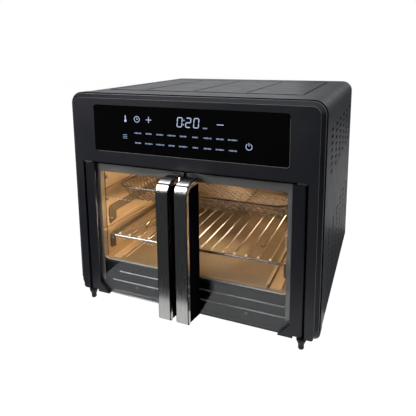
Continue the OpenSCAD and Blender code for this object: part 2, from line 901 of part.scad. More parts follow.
module crumb_tray() {
    z0 = cavity_z0 + 0.4;
    lip = 5;
    sheet = 0.8;
    y0 = 16;
    y1 = 300;
    color("#c7b08f") difference() {
        block([-tray_x, y0, z0], [tray_x, y1, z0 + lip]);
        block([-tray_x + sheet, y0 - 1, z0 + sheet], [tray_x - sheet, y1 - sheet, z0 + lip + 1]);
    }
    color("#c7b08f") block([-tray_x, y0, z0], [tray_x, y0 + 1.6, z0 + 3]);
}

in_place() outer_casing();
in_place() rear_cover();
in_place() rear_screws();
in_place() base_pan();
in_place() front_bezel();
in_place() control_glass();
in_place() display_housing();
in_place() display_module();
in_place() control_board();
in_place() touch_springs();
in_place() front_frame();
in_place() cavity_liner();
in_place() liner_screws();
in_place() front_apron();
in_place() apron_screws();
in_place() upper_elements();
in_place() lower_elements();
in_place() element_insulators();
in_place() fan_cover();
in_place() fan_housing();
in_place() fan_wheel();
in_place() motor_shaft();
in_place() fan_motor();
in_place() motor_bracket();
in_place() cooling_wheel();
in_place() cavity_lamp();
in_place() lamp_lens();
in_place() temperature_probe();
in_place() thermal_cutout();
in_place() power_board();
in_place() power_board_bracket();
in_place() terminal_block();
in_place() cord_gland();
in_place() front_feet();
in_place() rear_feet();
in_place() lower_hinge_brackets();
in_place() upper_hinge_brackets();
in_place() door_magnets();
in_place() left_door_glass();
in_place() left_door_stile();
in_place() left_handle();
in_place() left_handle_trim();
in_place() left_strike_plate();
in_place() right_door_glass();
in_place() right_door_stile();
in_place() right_handle();
in_place() right_handle_trim();
in_place() right_strike_plate();
in_place() wire_rack();
in_place() fry_basket();
in_place() crumb_tray();
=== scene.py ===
"""Looks for the French-door air-fryer oven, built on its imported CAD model.

Measures are in the body's own millimetres (x from the middle, y back from the bezel's face,
z up from the body's lower edge) and at() turns them into the model's frame in metres.
"""
import math

import bmesh
import bpy
from mathutils import Matrix, Vector


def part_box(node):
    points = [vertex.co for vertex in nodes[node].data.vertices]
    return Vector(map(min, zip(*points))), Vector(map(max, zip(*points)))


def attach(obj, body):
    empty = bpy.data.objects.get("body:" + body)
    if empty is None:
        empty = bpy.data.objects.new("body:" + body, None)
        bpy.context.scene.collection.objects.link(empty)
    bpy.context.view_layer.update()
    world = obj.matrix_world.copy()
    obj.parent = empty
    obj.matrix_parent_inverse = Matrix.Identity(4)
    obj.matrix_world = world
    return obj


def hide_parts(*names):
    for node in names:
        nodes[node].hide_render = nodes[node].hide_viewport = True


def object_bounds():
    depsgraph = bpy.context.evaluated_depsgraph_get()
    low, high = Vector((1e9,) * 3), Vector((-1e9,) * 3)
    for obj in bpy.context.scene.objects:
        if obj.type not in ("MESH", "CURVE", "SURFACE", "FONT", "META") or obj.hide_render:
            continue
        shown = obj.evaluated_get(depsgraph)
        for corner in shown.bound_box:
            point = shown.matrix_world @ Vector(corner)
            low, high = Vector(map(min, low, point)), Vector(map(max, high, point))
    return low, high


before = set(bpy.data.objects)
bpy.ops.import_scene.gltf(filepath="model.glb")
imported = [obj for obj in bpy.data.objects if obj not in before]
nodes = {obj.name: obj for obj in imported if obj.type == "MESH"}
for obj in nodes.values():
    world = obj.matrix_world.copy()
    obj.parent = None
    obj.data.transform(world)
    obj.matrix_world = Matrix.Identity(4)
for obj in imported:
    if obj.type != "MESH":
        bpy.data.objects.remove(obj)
cad_low, cad_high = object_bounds()

MM = 0.001
# the bezel's front face and lower edge in the model's frame
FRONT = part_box("front_bezel")[0].y
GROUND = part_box("front_bezel")[0].z


def at(x, y, z):
    """A point of the body, given in its own millimetres, in the model's frame."""
    return Vector((x * MM, y * MM + FRONT, z * MM + GROUND))


# ---------------------------------------------------------------- materials


# noise rarely leaves this band, so ramps and ranges are stretched over it
NOISE_LOW = 0.3
NOISE_HIGH = 0.7


class Finish:
    """A Principled material with short helpers for procedural nodes."""

    def __init__(self, name, color, roughness, metallic=0.0, **sockets):
        self.mat = bpy.data.materials.new(name)
        self.mat.use_nodes = True
        self.tree = self.mat.node_tree
        self.shader = self.tree.nodes["Principled BSDF"]
        self.set("Base Color", (*color, 1.0))
        self.set("Roughness", roughness)
        self.set("Metallic", metallic)
        for key, value in sockets.items():
            self.set(key.replace("_", " "), value)

    def set(self, socket, value):
        """Sets a constant on one of the shader's sockets."""
        self.shader.inputs[socket].default_value = value

    def node(self, kind, **settings):
        """A new shader node with its settings."""
        made = self.tree.nodes.new(kind)
        for key, value in settings.items():
            setattr(made, key, value)
        return made

    def link(self, a, b):
        """Joins an output to an input."""
        self.tree.links.new(a, b)

    def noise(self, scale, detail=3.0, stretch=(1, 1, 1), rough=0.5):
        """Noise in object space: scale is in repeats per metre along each stretched axis."""
        place = self.node("ShaderNodeTexCoord")
        mapping = self.node("ShaderNodeMapping")
        mapping.inputs["Scale"].default_value = stretch
        made = self.node("ShaderNodeTexNoise")
        made.inputs["Scale"].default_value = scale
        made.inputs["Detail"].default_value = detail
        made.inputs["Roughness"].default_value = rough
        self.link(place.outputs["Object"], mapping.inputs["Vector"])
        self.link(mapping.outputs["Vector"], made.inputs["Vector"])
        return made.outputs["Fac"]

    def ramp(self, value, dark, light):
        """Runs a noise value from one colour to the other."""
        made = self.node("ShaderNodeValToRGB")
        stops = ((NOISE_LOW, dark), (NOISE_HIGH, light))
        for element, (place, color) in zip(made.color_ramp.elements, stops):
            element.position = place
            element.color = (*color, 1.0)
        self.link(value, made.inputs["Fac"])
        return made.outputs["Color"]

    def span(self, value, low, high):
        """Maps a noise value onto low to high."""
        made = self.node("ShaderNodeMapRange")
        made.inputs["From Min"].default_value = NOISE_LOW
        made.inputs["From Max"].default_value = NOISE_HIGH
        made.inputs["To Min"].default_value = low
        made.inputs["To Max"].default_value = high
        self.link(value, made.inputs["Value"])
        return made.outputs["Result"]

    def vary_color(self, value, dark, light):
        """Lets a noise value shift the colour between two shades."""
        self.link(self.ramp(value, dark, light), self.shader.inputs["Base Color"])

    def vary_roughness(self, value, low, high):
        """Lets a noise value shift the roughness between two levels."""
        self.link(self.span(value, low, high), self.shader.inputs["Roughness"])

    def bump(self, height, strength, distance):
        """Bends the normals by a height value; distance is the full height in metres."""
        made = self.node("ShaderNodeBump")
        made.inputs["Strength"].default_value = strength
        made.inputs["Distance"].default_value = distance
        self.link(height, made.inputs["Height"])
        self.link(made.outputs["Normal"], self.shader.inputs["Normal"])


def scaled(values, factor):
    """Every value times the factor: a colour made darker or lighter, or millimetres in metres."""
    return tuple(value * factor for value in values)


def painted(name, color, roughness, grain, strength):
    """Powder-coated steel or textured plastic: fine grain, slight sheen changes."""
    made = Finish(name, color, roughness)
    made.vary_color(made.noise(14, 4), scaled(color, 0.9), scaled(color, 1.1))
    made.vary_roughness(made.noise(40, 4), roughness - 0.05, roughness + 0.05)
    made.bump(made.noise(grain, 2), strength, 0.0002)
    return made.mat


def brushed(name, color, roughness, along, strength=0.25):
    """Steel with fine brush lines that run along one axis."""
    stretch = [1.0, 1.0, 1.0]
    stretch[along] = 0.02
    made = Finish(name, color, roughness, 1.0)
    lines = made.noise(2600, 3, stretch)
    made.vary_color(lines, scaled(color, 0.8), scaled(color, 1.15))
    made.vary_roughness(lines, roughness - 0.06, roughness + 0.08)
    made.bump(lines, strength, 0.00006)
    return made.mat


def enamel(name, color, roughness):
    """The cavity's baked coating: semi-gloss with faint heat marks."""
    made = Finish(name, color, roughness, 0.35)
    made.vary_color(made.noise(9, 5, rough=0.6), scaled(color, 0.82), scaled(color, 1.12))
    made.vary_roughness(made.noise(30, 4), roughness - 0.07, roughness + 0.08)
    made.bump(made.noise(420, 2), 0.12, 0.0003)
    return made.mat


def plastic(name, color, roughness, grain=1500, strength=0.15):
    """Moulded plastic, rubber or ceramic with a fine grain."""
    made = Finish(name, color, roughness)
    made.vary_color(made.noise(25, 3), scaled(color, 0.85), scaled(color, 1.15))
    made.vary_roughness(made.noise(60, 3), roughness - 0.04, roughness + 0.06)
    made.bump(made.noise(grain, 2), strength, 0.0001)
    return made.mat


def wire_finish(name, color, roughness):
    """Bare or plated metal, slightly uneven in colour and gloss."""
    made = Finish(name, color, roughness, 1.0)
    made.vary_color(made.noise(300, 3), scaled(color, 0.75), scaled(color, 1.1))
    made.vary_roughness(made.noise(220, 3), roughness - 0.05, roughness + 0.1)
    made.bump(made.noise(1800, 2), 0.1, 0.0001)
    return made.mat


def clear_glass(name, tint, roughness=0.0):
    """Glass that lets lamp light through to what is behind it."""
    made = Finish(name, tint, roughness, 0.0, Transmission_Weight=1.0, IOR=1.5)
    made.vary_color(made.noise(6, 2), scaled(tint, 0.98), tint)
    mix = made.node("ShaderNodeMixShader")
    path = made.node("ShaderNodeLightPath")
    clear = made.node("ShaderNodeBsdfTransparent")
    clear.inputs["Color"].default_value = (*scaled(tint, 0.95), 1.0)
    out = made.tree.nodes["Material Output"]
    made.link(path.outputs["Is Shadow Ray"], mix.inputs["Fac"])
    made.link(made.shader.outputs["BSDF"], mix.inputs[1])
    made.link(clear.outputs["BSDF"], mix.inputs[2])
    made.link(mix.outputs["Shader"], out.inputs["Surface"])
    return made.mat


def glowing(name, color, strength):
    """A lit surface, a little uneven in brightness."""
    made = Finish(name, scaled(color, 0.2), 0.4)
    made.set("Emission Strength", strength)
    shade = made.ramp(made.noise(240, 2), scaled(color, 0.85), color)
    made.link(shade, made.shader.inputs["Emission Color"])
    return made.mat


def less_sheen(material, level=0.0):
    """Turns the coat's mirror share down: a gap or a deep groove throws nothing back."""
    shader = material.node_tree.nodes["Principled BSDF"]
    shader.inputs["Specular IOR Level"].default_value = level
    return material


# each finish: name, colour, roughness, then grain scale and bump strength where they differ
CASING = painted("casing_paint", (0.036, 0.038, 0.043), 0.42, 1500, 0.25)
BEZEL = painted("bezel_paint", (0.028, 0.029, 0.038), 0.42, 1900, 0.2)
STILE = painted("stile_paint", (0.021, 0.022, 0.029), 0.4, 1900, 0.2)
FRAME = painted("frame_paint", (0.03, 0.029, 0.028), 0.42, 1200, 0.2)
# the doors' grey band, and a painted highlight at the control panel's ledge
GREY_BAND_AND_HIGHLIGHT = painted("grey_band_and_highlight", (0.2, 0.188, 0.18), 0.4, 900, 0.1)
# the bezel's rim: painted shade on its slope and in the gap beside it, painted highlights on its
# edges
RIM_PAINTED_SHADE = less_sheen(painted("rim_painted_shade", (0.014, 0.0145, 0.02), 0.45, 1900, 0.2), 0.28)
RIM_HIGHLIGHT_LINE = painted("edge_painted_highlight", (0.17, 0.18, 0.2), 0.34, 1900, 0.1)
GAP = less_sheen(plastic("gap_painted_shade", (0.002, 0.002, 0.0022), 0.6))
LINE = less_sheen(painted("line_paint", (0.01, 0.0102, 0.0125), 0.6, 1500, 0.2))
RIDGE = wire_finish("ridge_steel", (0.85, 0.86, 0.88), 0.34)
APRON = painted("apron_gloss", (0.006, 0.007, 0.008), 0.2, 900, 0.1)
# dark lines on the side walls: joint colour, and painted shade in the grooves, round the rails and
# at the mouth's step
SEAM_AND_SHADE = plastic("seam_and_painted_shade", (0.03, 0.018, 0.008), 0.6)
COATING = enamel("cavity_coating", (0.48, 0.335, 0.178), 0.36)
TRAY = enamel("tray_coating", (0.25, 0.178, 0.094), 0.4)
# a painted highlight on the tray's rolled crests
TRAY_CREST_HIGHLIGHT = plastic("tray_crest_highlight", (0.95, 0.74, 0.48), 0.35)
# painted light on the strips of floor beside the tray
RUNNER_PAINTED_LIGHT = enamel("runner_painted_light", (0.85, 0.64, 0.38), 0.34)
# painted shade on the rails' slopes that face up and to the front
RAIL_PAINTED_SHADE = enamel("rail_painted_shade", (0.11, 0.073, 0.035), 0.42)
WELD = wire_finish("weld_bright", (0.92, 0.92, 0.92), 0.45)
GLASS = clear_glass("door_glass", (0.9, 0.92, 0.93))
FROSTED = clear_glass("lamp_glass", (0.95, 0.92, 0.85), 0.35)
CHROME = wire_finish("chrome_wire", (0.78, 0.77, 0.75), 0.14)
MESH = wire_finish("basket_wire", (0.26, 0.215, 0.165), 0.32)
RIM_WIRE = wire_finish("rim_wire", (0.42, 0.41, 0.4), 0.18)
ZINC = wire_finish("zinc_plate", (0.55, 0.55, 0.56), 0.34)
SCREW = wire_finish("screw_steel", (0.2, 0.2, 0.21), 0.45)
HANDLE_STEEL = brushed("handle_steel", (0.74, 0.735, 0.72), 0.17, 2, 0.04)
HANDLE_BLACK = less_sheen(plastic("handle_black", (0.004, 0.004, 0.006), 0.45))
PANEL = plastic("panel_black", (0.002, 0.002, 0.0025), 0.08, 700, 0.02)
RUBBER = plastic("rubber_black", (0.012, 0.012, 0.013), 0.5, 900, 0.3)
BLACK = plastic("moulded_black", (0.015, 0.015, 0.017), 0.45)
WHITE = plastic("moulded_white", (0.75, 0.75, 0.72), 0.5)
CERAMIC = plastic("ceramic", (0.78, 0.76, 0.7), 0.35, 600, 0.2)
GREEN = plastic("board_green", (0.02, 0.16, 0.07), 0.35)
BROWN = plastic("board_brown", (0.34, 0.2, 0.08), 0.5)
ROD = wire_finish("element_steel", (0.3, 0.27, 0.25), 0.42)
ALUMINIUM = brushed("aluminium", (0.74, 0.74, 0.75), 0.3, 0)
MOTOR = wire_finish("motor_steel", (0.33, 0.32, 0.32), 0.45)
GLOW = glowing("legend_glow", (0.62, 0.72, 1.0), 0.86)
GLOW_SOFT = glowing("legend_glow_soft", (0.5, 0.62, 0.95), 0.36)
LAMP_GLOW = glowing("lamp_glow", (1.0, 0.62, 0.3), 0.9)
PRINT = plastic("glass_print", (0.6, 0.57, 0.53), 0.5)

NODE_FINISHES = {
    CASING: ["outer_casing", "rear_cover"],
    BEZEL: ["front_bezel"],
    STILE: ["left_door_stile", "right_door_stile"],
    FRAME: ["front_frame"],
    APRON: ["front_apron"],
    COATING: ["cavity_liner", "fan_cover"],
    TRAY: ["crumb_tray"],
    GLASS: ["left_door_glass", "right_door_glass"],
    FROSTED: ["lamp_lens"],
    CHROME: ["wire_rack"],
    MESH: ["fry_basket"],
    ZINC: [
        "rear_screws", "base_pan", "touch_springs", "fan_housing",
        "motor_shaft", "motor_bracket", "temperature_probe", "power_board_bracket",
        "upper_hinge_brackets",
    ],
    HANDLE_STEEL: ["left_handle_trim", "right_handle_trim"],
    HANDLE_BLACK: ["left_handle", "right_handle"],
    PANEL: ["control_glass"],
    RUBBER: ["cord_gland", "front_feet", "rear_feet", "lower_hinge_brackets"],
    BLACK: ["display_module", "cooling_wheel", "thermal_cutout"],
    WHITE: ["display_housing"],
    SCREW: [
        "apron_screws", "liner_screws", "door_magnets", "left_strike_plate", "right_strike_plate",
    ],
    CERAMIC: ["element_insulators", "terminal_block"],
    GREEN: ["control_board"],
    BROWN: ["power_board"],
    ROD: ["upper_elements", "lower_elements"],
    ALUMINIUM: ["fan_wheel"],
    MOTOR: ["fan_motor"],
    LAMP_GLOW: ["cavity_lamp"],
}
for finish, names in NODE_FINISHES.items():
    for name in names:
        mesh = nodes[name].data
        mesh.materials.clear()
        mesh.materials.append(finish)


def soften(name, width):
    """Rounds a CAD node's sharp edges by that many millimetres."""
    made = nodes[name].modifiers.new("edge", "BEVEL")
    made.width = width * MM
    made.segments = 3
    made.limit_method = "ANGLE"
    made.angle_limit = math.radians(35)
    made.harden_normals = True


soften("front_bezel", 0.7)
soften("control_glass", 0.3)
for side_name in ("left", "right"):
    soften(side_name + "_door_stile", 0.7)
    soften(side_name + "_handle", 0.9)
    soften(side_name + "_handle_trim", 1.0)
    soften(side_name + "_door_glass", 0.4)


# ---------------------------------------------------------------- mesh helpers


def new_object(name, bm, material):
    """An object in the scene with the mesh built in bm."""
    mesh = bpy.data.meshes.new(name)
    bm.to_mesh(mesh)
    bm.free()
    mesh.materials.append(material)
    made = bpy.data.objects.new(name, mesh)
    bpy.context.scene.collection.objects.link(made)
    return made


def finish_piece(name, bm, material, body="oven_body", smooth=40):
    """A piece of the model on its body; smooth is the angle below which edges are rounded off."""
    made = new_object(name, bm, material)
    if smooth:
        made.data.shade_smooth()
        made.data.set_sharp_from_angle(angle=math.radians(smooth))
    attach(made, body)
    return made


def add_tube(bm, points, radius, sides=8, closed=False):
    """A round wire along points in the model's frame; the radius is in metres."""
    count = len(points)
    rings = []
    side = None
    for i, point in enumerate(points):
        before = points[i - 1] if closed or i else point
        after = points[(i + 1) % count] if closed or i < count - 1 else point
        along = (after - before).normalized()
        if side is None:
            side = along.orthogonal().normalized()
        side = (side - along * side.dot(along)).normalized()
        up = along.cross(side)
        ring = []
        for k in range(sides):
            turn = 2 * math.pi * k / sides
            ring.append(bm.verts.new(point + (side * math.cos(turn) + up * math.sin(turn)) * radius))
        rings.append(ring)
    for i in range(count if closed else count - 1):
        a, b = rings[i], rings[(i + 1) % count]
        for k in range(sides):
            j = (k + 1) % sides
            bm.faces.new((a[k], a[j], b[j], b[k]))
    if not closed:
        bm.faces.new(rings[0][::-1])
        bm.faces.new(rings[-1])


def arc(center, radius, start, stop, steps):
    """Points of an arc in a plane, as pairs. Angles are in degrees."""
    made = []
    for i in range(steps + 1):
        turn = math.radians(start + (stop - start) * i / steps)
        made.append((center[0] + radius * math.cos(turn), center[1] + radius * math.sin(turn)))
    return made


def add_plate(bm, outline, y0, y1):
    """A flat piece between two depths: outline holds x, z pairs in body millimetres."""
    front = [bm.verts.new(at(x, y0, z)) for x, z in outline]
    back = [bm.verts.new(at(x, y1, z)) for x, z in outline]
    bm.faces.new(front)
    bm.faces.new(back[::-1])
    count = len(outline)
    for i in range(count):
        j = (i + 1) % count
        bm.faces.new((front[i], back[i], back[j], front[j]))


# ---------------------------------------------------------------- cavity

# the cavity's inner faces
HALF_CAVITY = 152.0
FLOOR = 56.0
CEILING = 214.0
REAR = 311.0
MOUTH = 13.3
# front and rear end of the rails
RAIL_ENDS = (25.0, 292.0)
# lower edge, upper edge and width of the sloping edge of each rail
RAILS = ((66.0, 94.0, 4.0), (108.5, 141.0, 9.0))
RAIL_DEPTH = 8.8
RAIL_CORNER = 7.0
# the side walls step outwards by this much beside the mouth, as far back as the second measure
MOUTH_STEP = 5.2
MOUTH_STEP_END = 18.0
# middle and radius of the opening for the fan in the ceiling
FAN_Y = 160.0
FAN_OPENING = 92.0


def rounded_distance(u, v, low, high, radius):
    """Signed distance from a rounded rectangle, negative inside."""
    cx, cy = (low[0] + high[0]) / 2, (low[1] + high[1]) / 2
    hx, hy = (high[0] - low[0]) / 2 - radius, (high[1] - low[1]) / 2 - radius
    dx, dy = abs(u - cx) - hx, abs(v - cy) - hy
    outside = math.hypot(max(dx, 0), max(dy, 0))
    return outside + min(max(dx, dy), 0) - radius


def eased(t):
    """Rises from 0 to 1 with soft ends."""
    t = min(max(t, 0.0), 1.0)
    return t * t * (3 - 2 * t)


def ramped(t):
    """Rises evenly from 0 to 1 with short rounded ends."""
    t = min(max(t, 0.0), 1.0)
    return 0.75 * t + 0.25 * eased(t)


def wall_relief(y, z):
    """How far the side wall stands into the cavity, in millimetres."""
    depth = 0.0
    for low, high, slope in RAILS:
        away = rounded_distance(y, z, (RAIL_ENDS[0], low), (RAIL_ENDS[1], high), RAIL_CORNER)
        depth = max(depth, RAIL_DEPTH * ramped(-away / slope))
    depth -= MOUTH_STEP * eased((MOUTH_STEP_END - y) / 4.5)
    # two grooves run back along the wall, the lower one bent upwards near the mouth
    lower = 104.5 + 3.5 * eased((22 - y) / 14) - 0.012 * y
    upper = 173.0 - 0.02 * y
    groove_half_width = 1.5
    for line, deep in ((lower, 2.2), (upper, 1.8)):
        depth -= deep * math.exp(-(((z - line) / groove_half_width) ** 2))
    return depth


def spread(*stretches):
    """Grid lines from (start, stop, step) stretches."""
    made = []
    for start, stop, step in stretches:
        count = max(1, round((stop - start) / step))
        made += [start + (stop - start) * i / count for i in range(count)]
    return made + [stretches[-1][1]]


def add_sheet(bm, us, vs, place):
    """A grid of faces: place(u, v) gives each corner in the model's frame."""
    grid = [[bm.verts.new(place(u, v)) for v in vs] for u in us]
    for i in range(len(us) - 1):
        for j in range(len(vs) - 1):
            bm.faces.new((grid[i][j], grid[i + 1][j], grid[i + 1][j + 1], grid[i][j + 1]))


def add_ceiling(bm, steps=64):
    """The cavity's ceiling, which goes round the fan's opening."""
    circle = arc((0, FAN_Y), FAN_OPENING, 0, 360, steps)[:-1]
    rim = [bm.verts.new(at(x, y, CEILING)) for x, y in circle]
    edge = []
    for i in range(steps):
        turn = 2 * math.pi * i / steps
        dx, dy = math.cos(turn), math.sin(turn)
        ahead = REAR - FAN_Y if dy > 0 else FAN_Y - MOUTH
        reach = min(HALF_CAVITY / max(abs(dx), 1e-6), ahead / max(abs(dy), 1e-6))
        edge.append(bm.verts.new(at(dx * reach, FAN_Y + dy * reach, CEILING)))
    for i in range(steps):
        j = (i + 1) % steps
        bm.faces.new((rim[i], rim[j], edge[j], edge[i]))
    for x in (-HALF_CAVITY, HALF_CAVITY):
        for y in (MOUTH, REAR):
            corner = at(x, y, CEILING)
            near = sorted(edge, key=lambda v: (v.co - corner).length)[:2]
            bm.faces.new((bm.verts.new(corner), *near))


def cavity_shell():
    """The coated liner: embossed side walls, floor, rear wall and ceiling."""
    bm = bmesh.new()
    # the grid is fine only where the walls are embossed
    ys = spread((MOUTH, 44, 1.2), (44, 276, 14.5), (276, 300, 1.5), (300, REAR, 5.5))
    zs = spread((FLOOR, 144, 1.0), (144, 167, 7.6), (167, 178, 1.0), (178, CEILING, 9))
    for side in (-1, 1):
        add_sheet(bm, ys, zs, lambda y, z: at(side * (HALF_CAVITY - wall_relief(y, z)), y, z))
    xs = spread((-HALF_CAVITY, HALF_CAVITY, 19))
    add_sheet(bm, xs, spread((MOUTH, REAR, 15)), lambda x, y: at(x, y, FLOOR))
    step_xs = [HALF_CAVITY, HALF_CAVITY + MOUTH_STEP]
    for side in (-1, 1):
        for z in (FLOOR, CEILING):
            add_sheet(bm, step_xs, [MOUTH, MOUTH_STEP_END], lambda x, y: at(side * x, y, z))
    add_sheet(bm, xs, spread((FLOOR, CEILING, 15)), lambda x, z: at(x, REAR, z))
    add_ceiling(bm)
    made = finish_piece("cavity_shell", bm, COATING)
    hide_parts("cavity_liner")


cavity_shell()


# y, z along the gaps where the liner's sheets overlap
LOWER_SEAM = ((19, 106.8), (24, 105.0), (32, 104.4), (60, 103.4), (102, 102), (185, 98))
UPPER_SEAM = ((19, 172), (40, 172.8), (70, 174), (105, 175), (200, 176), (300, 176))


def on_wall(side, y, z, proud):
    """A point that far proud of the embossed side wall, all in millimetres but the result."""
    return at(side * (HALF_CAVITY - wall_relief(y, z) - proud), y, z)


def rail_outline(low, high, inset, reach):
    """The top and front edge of a rail's embossing as y, z pairs, inset by that much.

    It starts on the top edge at depth reach and ends a little round the lower corner.
    """
    c = max(RAIL_CORNER, inset + 0.6)
    y, r = RAIL_ENDS[0] + c, c - inset
    path = [(reach, high - inset)] + arc((y, high - c), r, 90, 180, 8)
    return path + arc((y, low + c), r, 180, 250, 6)


def rail_shade():
    """Painted shade: a darker coat on the slopes of the rails that face up and to the front."""
    bm = bmesh.new()
    for side in (-1, 1):
        for low, high, slope in RAILS:
            rows = []
            # rows of points from the slope's foot to just past its top
            for share in (0.12, 0.4, 0.7, 1.02):
                outline = rail_outline(low, high, share * slope, 280)
                rows.append([bm.verts.new(on_wall(side, y, z, 0.2)) for y, z in outline])
            for near, far in zip(rows, rows[1:]):
                for i in range(len(near) - 1):
                    bm.faces.new((near[i], near[i + 1], far[i + 1], far[i]))
    finish_piece("rail_shade", bm, RAIL_PAINTED_SHADE)


def wall_seams_and_shade():
    """Dark lines on both side walls: the gaps along the overlaps, dark as joints and with painted
    shade in their grooves, and painted shade round the rails and at the step beside the mouth.
    """
    bm = bmesh.new()
    for side in (-1, 1):
        for stops in (LOWER_SEAM, UPPER_SEAM):
            add_tube(bm, [on_wall(side, y, z, 0.1) for y, z in stops], 0.8 * MM, 6)
        # painted shade along the top and front edges of each rail
        for low, high, _ in RAILS:
            outline = rail_outline(low, high, 0.6, 110)
            add_tube(bm, [on_wall(side, y, z, 0.1) for y, z in outline], 0.95 * MM, 6)
        # painted shade at the step beside the mouth
        step_y = MOUTH_STEP_END + 0.4
        step = [at(side * (HALF_CAVITY - 0.3), step_y, z) for z in (FLOOR + 2, 120, CEILING - 2)]
        add_tube(bm, step, 0.6 * MM, 6)
    finish_piece("wall_seams_and_shade", bm, SEAM_AND_SHADE)


rail_shade()
wall_seams_and_shade()


def apron_panel():
    """The black pressed plate under the mouth: chamfered corners and two bright ridges."""
    half, low, high, cut = 157.0, -4.6, 50.5, 7.0
    face, back = 11.0, 11.9
    outline = [
        (-half, low + cut), (-half + cut, low), (half - cut, low), (half, low + cut),
        (half, high - cut), (half - cut, high), (-half + cut, high), (-half, high - cut),
    ]
    bm = bmesh.new()
    add_plate(bm, outline[::-1], face, back)
    finish_piece("apron_panel", bm, APRON, smooth=0)
    bm = bmesh.new()
    # both ridges rise out of the plate at their left end and sink into it near its right edge
    stop = 150
    for start, z in ((-125, 37.0), (-139, 20.5)):
        path = ((start, 0.4), (start + 3, -0.2), (start + 11, -0.5))
        path += ((stop - 11, -0.5), (stop - 3, -0.2), (stop, 0.4))
        add_tube(bm, [at(x, face + deep, z) for x, deep in path], 0.9 * MM, 8)
    made = finish_piece("apron_ridges", bm, RIDGE)
    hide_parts("front_apron")


apron_panel()


def crumb_tray():
    """A shallow tray with rolled side edges and a low front, and the runners beside it."""
    # x, z from the right edge to the middle
    profile = [
        (124, 56.6), (124.2, 59.4), (123.2, 61.0), (121.8, 61.0), (120.8, 59.8), (118.6, 57.5),
        (60, 57.3), (0, 57.2),
    ]
    full = profile + [(-x, z) for x, z in profile[-2::-1]]
    front_z = 56.5
    tray_rear, runner_front, runner_rear = 298, 20, 305
    ys = spread((13.5, 16.5, 1.5), (16.5, tray_rear, 28), (tray_rear, 300, 1))
    bm = bmesh.new()

    def place(i, y):
        x, z = full[i]
        lowered = eased((17.5 - y) / 4)
        return at(x, y, z + (front_z - z) * lowered)

    add_sheet(bm, range(len(full)), ys, place)
    made = finish_piece("tray_sheet", bm, TRAY, "tray", 50)
    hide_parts("crumb_tray")
    # light tubes along the rolled crests: a painted highlight
    bm = bmesh.new()
    for side in (-1, 1):
        for x, z, r in ((123.0, 60.5, 1.2), (119.0, 57.9, 0.5)):
            points = [at(side * x, 21, z - 3), at(side * x, 23, z - 0.4), at(side * x, 27, z)]
            add_tube(bm, points + [at(side * x, tray_rear, z)], r * MM, 6)
    finish_piece("tray_edges", bm, TRAY_CREST_HIGHLIGHT, "tray")
    # the runners' light coat is painted light for the lit band of floor beside the tray
    bm = bmesh.new()
    for side in (-1, 1):
        outline = [(side * x, z) for x, z in ((125.6, 56), (126.4, 57.6), (140.6, 57.6), (142, 56))]
        add_plate(bm, outline[::side], runner_front, runner_rear)
        bead = [at(side * 141, y, 57.2) for y in (runner_front, runner_rear)]
        add_tube(bm, bead, 0.6 * MM, 6)
    bmesh.ops.recalc_face_normals(bm, faces=bm.faces[:])
    finish_piece("floor_runners", bm, RUNNER_PAINTED_LIGHT)


crumb_tray()


def mouth_lip():
    """The rolled steel edge along the mouth's lower side and round its two corners."""
    half, low, radius = 156.4, 55.6, 12.0
    path = arc((-half + radius, low + radius), radius, 225, 270, 4)
    path += arc((half - radius, low + radius), radius, 270, 330, 6)
    bm = bmesh.new()
    add_tube(bm, [at(x, 11.4, z) for x, z in path], 0.9 * MM, 8)
    finish_piece("mouth_lip", bm, WELD)


mouth_lip()


# ---------------------------------------------------------------- fry basket

# half width, front, rear, corner radius and height of the basket's rim and of its floor
RIM = dict(half=149.6, y0=45.4, y1=289.6, corner=25.0, z=170.4)
BOTTOM = dict(half=136.0, y0=57.0, y1=278.0, corner=23.0, z=146.8)
MESH_PITCH = 8.6
# radius of the mesh's wires
MESH_WIRE = 0.7


def basket_corner_path(level, steps=8):
    """The basket's rounded outline at a height between 0, the bottom, and 1, the rim."""
    size = {key: BOTTOM[key] + (RIM[key] - BOTTOM[key]) * level for key in BOTTOM}
    half, r, y0, y1 = size["half"], size["corner"], size["y0"], size["y1"]
    path = arc((half - r, y0 + r), r, 270, 360, steps)
    path += arc((half - r, y1 - r), r, 0, 90, steps)
    path += arc((-half + r, y1 - r), r, 90, 180, steps)
    path += arc((-half + r, y0 + r), r, 180, 270, steps)
    return path


def evenly(path, count):
    """Points at even steps along a closed path."""
    sides = [math.dist(path[i], path[(i + 1) % len(path)]) for i in range(len(path))]
    step = sum(sides) / count
    made = []
    side, passed = 0, 0.0
    for i in range(count):
        distance = i * step
        while distance > passed + sides[side]:
            passed += sides[side]
            side += 1
        a, b = path[side], path[(side + 1) % len(path)]
        t = (distance - passed) / sides[side] if sides[side] else 0.0
        made.append((a[0] + (b[0] - a[0]) * t, a[1] + (b[1] - a[1]) * t))
    return made


def inside_bottom(x, y):
    """Whether a point lies within the outline of the basket's floor."""
    low = (-BOTTOM["half"], BOTTOM["y0"])
    high = (BOTTOM["half"], BOTTOM["y1"])
    return rounded_distance(x, y, low, high, BOTTOM["corner"]) < 0


def basket_floor_wire(bm, sign, shift):
    """One slanting wire of the basket's floor, cut to the floor's outline."""
    middle = (BOTTOM["y0"] + BOTTOM["y1"]) / 2
    reach, step = 270, 2
    inside = []
    for t in range(-reach, reach, step):
        x, y = t + shift, middle + sign * t
        if inside_bottom(x, y):
            inside.append((x, y))
    if len(inside) < 4:
        return
    # the two layers of wires cross one over the other
    lift = 0.35 * sign
    ends = [at(x, y, BOTTOM["z"] + lift) for x, y in (inside[0], inside[-1])]
    add_tube(bm, ends, MESH_WIRE * MM, 4)


